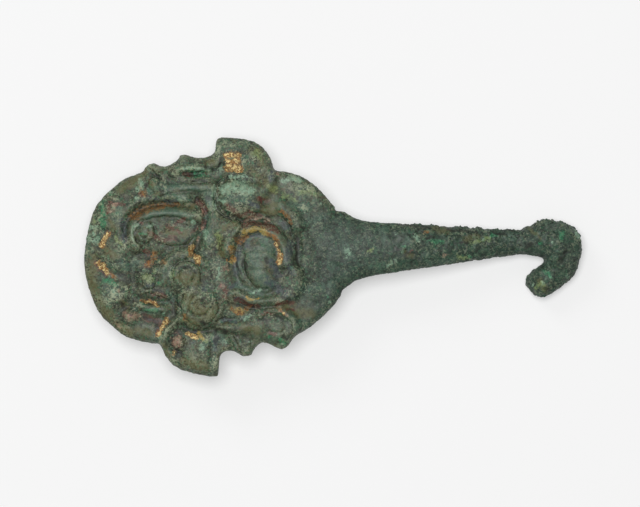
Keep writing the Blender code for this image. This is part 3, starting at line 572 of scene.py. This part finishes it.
patches["olive"] = [
    (0.71, (2.5, -8.8), (3.5, -9.5), (4.9, -9.7)), (0.64, (-14, -12.9), (-11.8, -13.6)),
    (0.71, (8.7, 10.2), (10.2, 9.2)), (0.71, (11, -8.7), (13.4, -8.7)),
    (1.24, (-21.6, -0.2), (-22.1, -4.1), (-21.2, -7.6)), (0.97, (-20.5, -8.5), (-18.6, -10.8)),
    (0.81, (-17.5, -12), (-15.4, -13.3)), (1.77, (-4.8, -7.6), (-3, -9.4), (-1.2, -9.7)),
    (1.24, (-6.5, -3.5), (-3.9, -4.1)), (0.88, (-17.1, 11.8), (-14.8, 13.3), (-12.7, 15)),
    (0.81, (-11.7, 12.9), (-10.4, 11.5)), (0.64, (-0.9, 16.8), (-1.6, 16.6)),
    (0.88, (5.8, 15.4), (8, 13.6), (10.2, 11.8)), (0.81, (8.5, 8.3), (10.2, 8)),
    (1.06, (-5.7, -18.2), (-2.1, -19.4)), (0.64, (-9.4, -15.5), (-8.7, -17.3)),
    (0.99, (-8.7, 4.6), (-5.7, 4.2)), (0.81, (-19.6, 1.2), (-18, 0.2)), (0.64, (0.4, 3.4), (0.9, 0.2)),
    (0.88, (14.1, -9.7), (16.8, -10.1)), (0.6, (-6.5, 9.2), (-4.4, 9)),
    (0.71, (-5.5, -10.8), (-3.7, -12)), (0.71, (8, 16.3), (7.2, 18.9)),
    (0.71, (57.1, -4.4), (58.1, -5.8)), (0.53, (-18.6, 6.2), (-18.2, 4.8)),
    (0.35, (55.3, 5.1), (57.1, 3.4)), (0.57, (33.2, 0.9), (34.5, 0.2)), (0.71, (38.5, 5.1), (40.8, 4.6)),
    (0.57, (43.8, 3), (46.1, 3.7)), (0.6, (-16.8, -8.1), (-15.7, -9)), (0.71, (3.2, 5.7), (1.4, 5.1)),
    (0.71, (4.9, -12.5), (7.2, -12.9)),
]
# light strokes: partly pale crust, partly painted highlights on the rims and wire edges
patches["light"] = [
    (0.25, (-12.7, 6.7), (-13.8, 6.2), (-14.7, 4.9), (-15, 3.7), (-14.7, 2.5), (-13.8, 1.9)),
    (0.14, (-6.9, -10.8), (-8.1, -12.2), (-9.2, -13.6), (-9.7, -15.4)),
    (0.11, (1.2, 13.6), (0.5, 12.7), (0.1, 11.3), (0.1, 9.5), (0.7, 8.5), (1.9, 7.4), (3, 7)),
    (0.21, (-0.6, 12.4), (-0.7, 10.4), (-0.5, 8.8), (0, 7.8), (0.5, 7.1)),
    (0.53, (12.2, 11.8), (14.7, 12.2), (17.1, 11.8)),
    (0.32, (-23.1, 0.9), (-23, -1.4), (-22.6, -4.1), (-21.6, -7.1)),
    (0.57, (-21, -7.4), (-19.4, -7.8), (-17.7, -7.2)), (0.46, (-18.9, -6.2), (-17.3, -6.9)),
    (0.42, (-5.7, -6.5), (-3.9, -5.8), (-2.1, -6.5)), (0.42, (-0.9, -8.1), (-1.1, -10.1), (-1.9, -11)),
    (0.35, (-8, -1.9), (-8.1, -4.2)), (0.46, (1.4, 20), (3.7, 19.8)), (0.46, (5.8, 18.6), (7.1, 17.5)),
    (0.35, (-17.8, -11.5), (-16.4, -12.4), (-15.4, -12.5)), (0.25, (-12.4, 16.3), (-11, 16.6)),
    (0.19, (-10.4, 15.9), (-8.3, 15.7)), (0.23, (-6.5, 17.8), (-5.1, 18)),
    (0.18, (0.2, 19.3), (0, 18)), (0.32, (31.5, 5.5), (34.1, 5.5), (36.6, 5.1)),
    (0.32, (36.6, 3.9), (37.3, 4.6)), (0.27, (53.4, 4.6), (55.3, 5.5), (57.8, 6.2)),
    (0.23, (59, 6.7), (59.9, 6.4)), (0.35, (43.3, 4.2), (45.4, 4.8), (47.2, 4.4)),
    (0.25, (-20.7, 11.5), (-18.6, 12.2)), (0.23, (-22.4, 7.6), (-21.7, 9)),
    (0.46, (3.7, 9), (4.4, 8.3)), (0.16, (0, 10.1), (-0.2, 11.5), (0.5, 12.9)),
    (0.42, (-4.6, -17.1), (-3, -19.3)), (0.25, (-0.2, -17.7), (-0.2, -19.6)),
    (0.21, (-10.1, -13.6), (-9.9, -15.2)), (0.35, (4.9, -16.8), (4.1, -15.7)),
    (0.25, (4.6, -14), (4.8, -15.9)), (0.27, (11.3, -11.5), (13.1, -10.8), (13.6, -12.2)),
    (0.23, (-10.1, -0.5), (-8.7, -1.6)), (0.32, (62.4, 4.6), (63.6, 3.4)),
    (0.28, (55.3, -6.2), (57.1, -6.5)), (0.32, (-15.7, 2.5), (-17.1, 0.9)),
    (0.23, (-0.7, -1.9), (-0.5, -3.4)), (0.35, (14.7, 9.4), (15.7, 8.3)), (0.35, (22.6, 7.6), (23.9, 6.5)),
    (0.28, (-20.7, 7.4), (-21.6, 5.1)),
]
# dark strokes: partly dark patina, partly painted shade in slits, grooves and under ridges
patches["dark"] = [
    (0.19, (-4.2, 13.4), (-3, 13.3), (-1.8, 13.4)), (0.28, (-1.6, 10.4), (-0.7, 10.1)),
    (0.19, (-12.7, 12.9), (-12.2, 12.2)), (0.21, (-12.4, 11.1), (-11.5, 10.6)),
    (0.18, (-2.1, 15.9), (-0.5, 15.4), (0.5, 15.9), (0.7, 17.5)),
    (0.21, (-6.5, -1.9), (-4.8, -1.8), (-3.7, -2.7)), (0.25, (-2.5, -7.2), (-2.7, -7.8)),
    (0.25, (-1.2, -8.7)), (0.25, (-4.2, -8.1)), (0.28, (-2.7, -11.5), (-2.3, -11.8)),
    (0.25, (-6.9, -16.3), (-7.1, -17.5)), (0.18, (-16.6, 5.1), (-16.1, 4.1)),
    (0.21, (-11.1, -6), (-10.1, -6), (-9.2, -6.5)), (0.25, (-12.4, -1.8), (-11.8, -2.1)),
    (0.28, (-14, -2.5)), (0.19, (-17.8, -0.7), (-16.3, -0.9)), (0.53, (-17, -3.2), (-15.5, -4.2)),
    (0.39, (-17, -8.1), (-16.4, -9)), (0.28, (0.7, -12.7), (1.6, -13.3)),
    (0.32, (0, -13.1), (-0.2, -15)), (0.28, (15, -12.5), (14.7, -13.1)),
    (0.23, (14.3, 3.4), (14.1, 0.9), (14.5, -1.9)), (0.25, (-3.9, 5.3), (-4.1, 4.6)),
    (0.28, (-4.8, 3.4), (-5.5, 2.7)), (0.21, (-9.5, 11.8), (-9.9, 10.8)),
    (0.28, (-3.7, 10.1), (-3, 10.1)), (0.28, (8.7, -0.4), (9, -0.9)),
    (0.18, (32, 5.7), (34.5, 5.5), (36.6, 5.3)), (0.21, (40.8, 4.8), (43.3, 4.6), (46.1, 4.4)),
    (0.21, (47.9, 4.2), (50.9, 4.1)), (0.21, (52.1, 4.6), (54.2, 5.3), (55.8, 6)),
    (0.25, (35.7, 4.9), (37.6, 5.1)), (0.21, (31.5, 1.9), (32, 1.2)), (0.18, (33, 0.2), (34.1, 1.2)),
    (0.28, (59.4, 6.2)), (0.35, (54.6, 1.6), (55.8, 2.3)), (0.23, (43.3, 2.8), (44.7, 2.5)),
    (0.27, (58, -5.5), (59.2, -5.8)), (0.42, (60.6, -0.9), (61.7, 1.2)),
    (0.28, (14.7, 5.5), (15.2, 5.1)), (0.18, (3.4, -0.9), (4.2, -2.7)), (0.16, (5.1, -0.9), (5.1, -2.3)),
    (0.21, (11.5, -6.9), (13.1, -7.4)), (0.16, (6.5, -8.8), (6.7, -9.4)),
    (0.21, (-14.5, 9.2), (-13.6, 9.7)), (0.21, (-7.2, 3.4), (-6.4, 3)),
    (0.18, (-8.3, 14.3), (-7.2, 14)), (0.21, (37.6, 3.5), (38.2, 3.4)),
    (0.18, (-6.9, -7.8), (-6.4, -8.7)), (0.18, (-10.8, -11.5), (-10.6, -13.3)),
    (0.23, (-12.9, -10.6), (-11.7, -11), (-10.4, -11.3)), (0.21, (10.4, -10.2), (11.5, -11.1)),
    (0.21, (8, -11.1), (9.4, -11.1)), (0.21, (11.8, -14), (12.4, -14.3)),
    (0.18, (4.6, -0.2), (4.6, -1.6)),
]


# stores where each colour lies, so that the finish can read it
def paintFields(piece):
    places, facing, edges = readMesh(piece.data)
    z = places[:, 2]
    x, y = wandered(places, painting["wander"], painting["wanderSize"], seed=6.0)
    x, y = x * plateReach / mm, y * plateReach / mm
    front = rise(*painting["facing"], facing[:, 2]) * rise(*painting["height"], z / hookHigh.z)
    shown = np.flatnonzero(front > 0)
    for colour, strokes in patches.items():
        field = np.full(len(x), -1.0)
        for halfWidth, *points in strokes:
            reach = halfWidth + painting["fringe"]
            near = nearLine(x[shown], y[shown], points)
            field[shown] = np.maximum(field[shown], 1 - near / reach)
        keep(piece.data, colour, np.clip(field, -1, 1) * front - (1 - front))
    ground = evened(z, edges, painting["groundRounds"])
    keep(piece.data, "raised", np.clip((z - ground) / painting["raised"], -1, 1) * front)
    x, y = places[:, 0] / plateReach, places[:, 1] / plateReach
    keep(piece.data, "grain", grainField(x, y, places, facing))
    neck = rise(*painting["plateEnd"], x) * (1 - rise(*painting["plateTop"], y))
    keep(piece.data, "plate", 1 - neck)
    print("colour fields painted")


def keep(mesh, name, values):
    layer = mesh.attributes.new(name, "FLOAT", "POINT")
    layer.data.foreach_set("value", values.astype(np.float32))


# a value in a shader. Expressions on it add maths nodes, and make adds any other node
class Value:
    def __init__(self, tree, socket):
        self.tree = tree
        self.socket = socket

    # any node: its type, settings, sockets' values or links, and which output to read
    def make(self, kind, settings=None, sockets=None, out=0):
        made = self.tree.nodes.new("ShaderNode" + kind)
        for name, setting in (settings or {}).items():
            setattr(made, name, setting)
        for name, given in (sockets or {}).items():
            target = made.inputs[name]
            if isinstance(given, Value):
                self.tree.links.new(given.socket, target)
            else:
                target.default_value = given
        return Value(self.tree, made.outputs[out])

    # another output of the same node
    def also(self, name):
        return Value(self.tree, self.socket.node.outputs[name])

    def maths(self, operation, first, second):
        return self.make("Math", {"operation": operation}, {0: first, 1: second})

    def __add__(self, other):
        return self.maths("ADD", self, other)

    def __radd__(self, other):
        return self.maths("ADD", other, self)

    def __sub__(self, other):
        return self.maths("SUBTRACT", self, other)

    def __rsub__(self, other):
        return self.maths("SUBTRACT", other, self)

    def __mul__(self, other):
        return self.maths("MULTIPLY", self, other)

    def __rmul__(self, other):
        return self.maths("MULTIPLY", other, self)

    # 0 below low, 1 above high, and soft between them
    def between(self, low, high):
        settings = {"interpolation_type": "SMOOTHSTEP", "clamp": True}
        return self.make("MapRange", settings, {"Value": self, "From Min": low, "From Max": high})

    # this mask lays a colour over another
    def over(self, under, colour):
        return self.make("Mix", {"data_type": "RGBA"}, {0: self, 6: under, 7: colour}, out=2)


# a colour given as on a paint chart, each part from 0 to 255, as the light it returns
def paint(red, green, blue):
    levels = [c / 255 for c in (red, green, blue)]
    return tuple(c / 12.92 if c < 0.04045 else ((c + 0.055) / 1.055) ** 2.4 for c in levels) + (1.0,)


patina = {
    "deep": paint(48, 55, 43),
    "body": paint(82, 90, 71),
    "pale": paint(150, 158, 128),
    # near black: dark grains of dirt, and painted shade in the relief's low places, slits and grooves
    "sootAndShade": paint(24, 26, 20),
    "olive": paint(88, 88, 56),
    "teal": paint(70, 96, 81),
    "slate": paint(74, 82, 90),
    "green": paint(52, 112, 78),
    "brown": paint(92, 70, 52),
    "lime": paint(136, 156, 98),
    "mint": paint(146, 180, 152),
    "vivid": paint(50, 126, 86),
    "red": paint(92, 50, 42),
    "blush": paint(162, 132, 112),
    "orange": paint(112, 76, 40),
    "brass": paint(168, 142, 68),
    "gold": paint(224, 202, 140),
    "tarnish": paint(142, 108, 56),
    "neck": paint(34, 53, 44),
    "moss": paint(50, 79, 62),
    "ember": paint(150, 100, 48),
    "ash": paint(76, 85, 77),
}

# noise: how large its clouds are, how detailed, rough and swirled, and where it is taken from
cloudKinds = {
    "broad": (4.5 * mm, 2.0, 0.60, 0.0, None),
    "busy": (2.2 * mm, 2.0, 0.60, 0.0, None),
    "middling": (1.5 * mm, 4.0, 0.65, 0.8, None),
    "blotch": (0.95 * mm, 3.0, 0.70, 1.2, None),
    "blotchTwo": (0.80 * mm, 3.0, 0.75, 1.0, (0.11, 0.23, 0.37)),
    "blotchThree": (1.10 * mm, 3.0, 0.75, 1.0, (0.41, 0.13, 0.07)),
    "ragged": (0.80 * mm, 4.0, 0.80, 0.0, None),
    "fine": (0.45 * mm, 2.0, 0.70, 0.0, None),
    "shake": (0.30 * mm, 1.0, 0.50, 0.0, None),
}

# stains under everything: their cloud, where it begins and is full, how strong, and the colour
stains = (
    ("broad", (0.50, 0.64), 0.45, "teal"),
    ("blotch", (0.50, 0.66), 0.50, "olive"),
    ("blotchTwo", (0.54, 0.68), 0.55, "green"),
    ("blotchThree", (0.58, 0.68), 0.50, "brown"),
)

# broad washes: how strong, and how soft their edges are
washes = (
    ("olive", 0.90, 0.8),
    ("teal", 0.65, 0.8),
    ("slate", 0.60, 0.6),
)

# specks: their chances, how many in calm places, how many more on the roughest, how many on
# the neck, and how strong
specks = {
    "green": ((0.80, 0.86), 0.3, 0.5, 0.55, 0.60),
    "brown": ((0.86, 0.90), 0.2, 0.5, 0.35, 0.55),
}

# crusts laid on in this order: how strong, how soft their edges are, and how broken
crusts = (
    ("lime", 0.62, 0.8, 0.65),
    ("mint", 0.72, 0.7, 0.55),
    ("vivid", 0.80, 0.6, 0.55),
    ("red", 0.84, 0.5, 0.38),
    ("blush", 0.72, 0.6, 0.75),
    ("brass", 0.86, 0.5, 0.42),
)

# pairs say where something begins and where it is full
finish = {
    "spotSize": 0.34 * mm,      # grains that each have a chance of their own, and finer crumbs
    "crumbSize": 0.21 * mm,
    "shake": 0.35 * mm,         # how far both are pushed about, so that they are never round
    "body": (0.34, 0.66),       # the paler of the two ground colours, on clouds
    "neck": 0.85,               # how far the neck's dark green covers the rest
    "moss": 0.75,               # and how strong the clouds of moss green on it are
    "mossClouds": (0.42, 0.66),
    "washRagged": 0.6,          # how ragged the edges of washes and light strokes are
    "washStart": -0.25,
    "washNeck": 0.72,           # how much of the washes is left on the neck
    "crustStart": -0.05,
    "gaps": (0.38, 0.62),       # chances that break the crusts up
    "gilt": (0.0, 0.35),
    "giltGaps": (0.50, 0.62),
    "giltRust": 0.95,           # how strong the rust under the gilding is
    "rust": (0.0, 0.40),
    "rustGaps": (0.54, 0.64),
    "rustBroken": 0.6,
    "rustShades": (0.35, 0.65),
    "rustStrength": 0.78,
    "leafShades": (0.20, 0.60),
    "leafStrength": 0.9,
    "busy": (0.36, 0.62),       # broad clouds, in which the pale grains are thicker
    "light": (-0.2, 0.6),
    "paleGrains": (0.60, 0.84),
    "paleNeck": 0.52,           # how much of the pale grains is left on the neck
    "paleOlive": (-0.2, 0.5),   # the washes of olive have fewer of them
    "dark": (-0.1, 0.6),
    "darkRagged": 0.5,
    "darkStrength": 0.68,
    "darkGrains": (0.60, 0.86),
    "pores": (0.20, 0.33),
    "bumpStrength": 0.6,
    "bumpHeight": 0.10 * mm,
    "specular": 0.40,
}


# what all parts of the finish read: noise, chances, and the fields painted on the mesh
class Surface:
    def __init__(self, tree):
        self.start = Value(tree, None)
        self.place = self.start.make("TexCoord", out="Object")
        self.fine = self.clouds("fine")
        self.middling = self.clouds("middling")
        shake = {0: self.clouds("shake").also("Color"), 1: (finish["shake"],) * 3, 2: self.place}
        self.loose = self.start.make("VectorMath", {"operation": "MULTIPLY_ADD"}, shake)
        self.chance = self.chances(self.cells(finish["spotSize"]))
        self.chanceTwo = self.chance.also("Green")
        self.chanceThree = self.chance.also("Blue")
        self.crumb = self.cells(finish["crumbSize"])
        self.crumbChance = self.chances(self.crumb)
        self.ragged = (self.clouds("ragged") - 0.5) * 2.0
        self.jagged = self.ragged * 0.8 + (self.crumbChance - 0.5) * 0.6 + (self.chance - 0.5) * 0.4
        self.grain = self.field("grain")
        self.raised = self.field("raised")
        self.plate = self.field("plate")

    def clouds(self, kind):
        size, detail, rough, swirl, shift = cloudKinds[kind]
        where = self.place
        if shift:
            where = self.start.make("VectorMath", {"operation": "ADD"}, {0: where, 1: shift})
        sockets = {"Vector": where, "Scale": 1 / size, "Detail": detail, "Roughness": rough}
        sockets["Distortion"] = swirl
        return self.start.make("TexNoise", {"normalize": True}, sockets)

    def cells(self, size):
        return self.start.make("TexVoronoi", {}, {"Vector": self.loose, "Scale": 1 / size})

    def chances(self, cells):
        return self.start.make("SeparateColor", {}, {"Color": cells.also("Color")})

    def field(self, name):
        return self.start.make("Attribute", {"attribute_name": name}, out="Fac")

    # how much is left where the plate ends and the neck begins
    def fading(self, neckShare):
        return neckShare + self.plate * (1 - neckShare)


# clouds of patina, darker and greener on the neck, under three broad washes
def ground(seen):
    colour = seen.middling.between(*finish["body"]).over(patina["deep"], patina["body"])
    for kind, span, strength, name in stains:
        colour = (seen.clouds(kind).between(*span) * strength).over(colour, patina[name])
    neck = 1 - seen.plate
    colour = (neck * finish["neck"]).over(colour, patina["neck"])
    moss = neck * seen.middling.between(*finish["mossClouds"]) * finish["moss"]
    colour = moss.over(colour, patina["moss"])
    for name, strength, soft in washes:
        mask = (seen.field(name) + seen.ragged * finish["washRagged"]).between(finish["washStart"], soft)
        shade = patina[name]
        if name == "slate":      # greyer on the neck
            shade = seen.plate.over(patina["ash"], shade)
        colour = (mask * strength * seen.fading(finish["washNeck"])).over(colour, shade)
    return colour


# specks in single grains, and the patches of crust
def crusted(seen, colour):
    for name, chance in (("green", seen.chanceTwo), ("brown", seen.chanceThree)):
        span, calm, rough, neckShare, strength = specks[name]
        mask = chance.between(*span) * (calm + seen.grain * rough) * seen.fading(neckShare)
        colour = (mask * strength).over(colour, patina[name])
    for name, strength, soft, broken in crusts:
        mask = (seen.field(name) + seen.jagged).between(finish["crustStart"], soft)
        whole = 1 - broken * (seen.chanceTwo * 0.6 + seen.crumbChance * 0.4).between(*finish["gaps"])
        colour = (mask * whole * strength).over(colour, patina[name])
    return colour


# pale grains of wear, most where the crust is rough and raised, and strokes of painted highlight and
# painted shade
def wornAndPaintedLight(seen, colour):
    busy = seen.clouds("busy").between(*finish["busy"])
    # light strokes thicken the pale grains: partly pale crust, partly painted highlights along rims and
    # wire edges
    lit = (seen.field("light") + seen.ragged * finish["washRagged"]).between(*finish["light"])
    light = seen.crumbChance * 0.55 + seen.chance * 0.45 + seen.raised * 0.26 + lit * 0.18
    light = light.between(*finish["paleGrains"])
    light = light * (0.20 + seen.grain * 0.70 + lit * 0.25) * (0.40 + busy * 0.60)
    light = light * seen.fading(finish["paleNeck"])
    light = light * (1 - 0.50 * seen.field("olive").between(*finish["paleOlive"]))
    colour = light.over(colour, patina["pale"])
    # dark strokes: partly dark patina, partly painted shade in slits, grooves and under ridges
    darkAndShade = (seen.field("dark") + seen.ragged * finish["darkRagged"]).between(*finish["dark"])
    return (darkAndShade * finish["darkStrength"]).over(colour, patina["sootAndShade"])


# where rust and gilding lie: rust round all the gilding, and gilding in broken leaves
def gilding(seen):
    gilt = (seen.field("gold") + seen.jagged).between(*finish["gilt"])
    rust = (seen.field("orange") + seen.jagged).between(*finish["rust"])
    rust = rust * (1 - finish["rustBroken"] * seen.crumbChance.between(*finish["rustGaps"]))
    rust = rust.maths("MAXIMUM", rust, gilt * finish["giltRust"])
    gaps = (seen.crumbChance * 0.6 + seen.chance * 0.4).between(*finish["giltGaps"])
    return rust, gilt * (1 - gaps)


def gilded(seen, colour, rust, gold):
    shade = seen.chanceTwo.between(*finish["rustShades"]).over(patina["orange"], patina["ember"])
    colour = (rust * finish["rustStrength"]).over(colour, shade)
    shade = seen.chanceThree.between(*finish["leafShades"]).over(patina["tarnish"], patina["gold"])
    return (gold * finish["leafStrength"]).over(colour, shade)


# dark grains, most where the crust is rough, painted shade where the relief lies low, and fewest on the
# gilding
def dimmed(seen, colour, gold):
    # the lower a place lies below the raised forms, the more of them: painted shade in the relief's
    # hollows
    dim = 1.0 - seen.crumbChance * 0.5 - seen.chance * 0.5 - seen.raised * 0.32
    dim = dim.between(*finish["darkGrains"])
    dim = dim * (0.50 - seen.plate * 0.06 + seen.grain * 0.48) * (1 - gold * 0.4)
    return dim.over(colour, patina["sootAndShade"])


def finishBronze(material):
    material.use_nodes = True
    tree = material.node_tree
    shader = tree.nodes["Principled BSDF"]
    seen = Surface(tree)
    rust, gold = gilding(seen)
    colour = wornAndPaintedLight(seen, crusted(seen, ground(seen)))
    colour = dimmed(seen, gilded(seen, colour, rust, gold), gold)
    tree.links.new(colour.socket, shader.inputs["Base Color"])
    rough = 0.60 + (seen.fine - 0.5) * 0.4 - gold * 0.10 + rust * 0.15 - (1 - seen.grain) * 0.12
    tree.links.new(rough.socket, shader.inputs["Roughness"])
    metal = gold * 0.20 + rust * 0.1
    tree.links.new(metal.socket, shader.inputs["Metallic"])
    pores = (seen.fine * 0.6 + seen.crumb * 0.4).between(*finish["pores"])
    height = (pores * 0.8 + seen.crumbChance * 0.35 + seen.fine * 0.5) * (0.25 + seen.grain * 0.75)
    sockets = {"Strength": finish["bumpStrength"], "Distance": finish["bumpHeight"], "Height": height}
    bump = seen.start.make("Bump", {}, sockets)
    tree.links.new(bump.socket, shader.inputs["Normal"])
    give(shader, {"Specular IOR Level": finish["specular"]})


bronze = evenCopy()
carve(bronze)
paintFields(bronze)
bronzeFinish = bpy.data.materials.new("patinatedBronze")
finishBronze(bronzeFinish)
bronze.data.materials.clear()
bronze.data.materials.append(bronzeFinish)
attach(bronze, "root")
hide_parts("garment_hook")
print("bronze finished")


# the studio: a pale floor, a broad light overhead, a weak one from the upper left, and the sky

studio = {
    "floorSize": 3.0,
    "floorShade": 0.58,
    "floorGlow": 0.345,
    "skyStrength": 0.20,
    "lamps": (      # where it is, how broad, and how strong
        ((-0.07, 0.12, 1.20), 0.64, 11.4),
        ((-0.70, 0.85, 0.75), 0.60, 2.2),
    ),
    "photoWidth": 640 * 0.177 * mm,      # what the picture's width spans on the object
    "photoMiddle": (18.23 * mm, 0.62 * mm, 6.0 * mm),
    "lens": 300.0,
    "sensor": 36.0,
}


def makeFloor():
    bm = bmesh.new()
    bmesh.ops.create_grid(bm, x_segments=1, y_segments=1, size=studio["floorSize"] / 2)
    mesh = bpy.data.meshes.new("floor")
    bm.to_mesh(mesh)
    bm.free()
    floor = added("floor", mesh)
    card = bpy.data.materials.new("paleCard")
    card.use_nodes = True
    shade = studio["floorShade"]
    give(card.node_tree.nodes["Principled BSDF"], {
        "Base Color": (shade, shade, shade, 1.0),
        "Roughness": 0.9,
        "Specular IOR Level": 0.0,
        "Emission Color": (1.0, 1.0, 1.0, 1.0),
        "Emission Strength": studio["floorGlow"],
    })
    mesh.materials.append(card)


def makeLight():
    sky = bpy.data.worlds.new("sky")
    bpy.context.scene.world = sky
    sky.use_nodes = True
    white = (1.0, 1.0, 1.0, 1.0)
    give(sky.node_tree.nodes["Background"], {"Color": white, "Strength": studio["skyStrength"]})
    for spot, breadth, power in studio["lamps"]:
        lamp = bpy.data.lights.new("softbox", "AREA")
        lamp.shape = "DISK"
        lamp.size = breadth
        lamp.energy = power
        box = added("softbox", lamp)
        box.location = spot
        box.rotation_euler = Vector(spot).to_track_quat("Z", "Y").to_euler()


def makeCamera():
    lens = bpy.data.cameras.new("camera")
    lens.lens = studio["lens"]
    lens.sensor_width = studio["sensor"]
    lens.sensor_fit = "HORIZONTAL"
    camera = added("camera", lens)
    away = studio["photoWidth"] * studio["lens"] / studio["sensor"]
    camera.location = Vector(studio["photoMiddle"]) + Vector((0.0, 0.0, away))
    lens.clip_start = away * 0.1
    lens.clip_end = away * 10.0
    bpy.context.scene.camera = camera


makeFloor()
makeLight()
makeCamera()
bpy.context.scene.view_settings.view_transform = "Standard"
print("studio set")
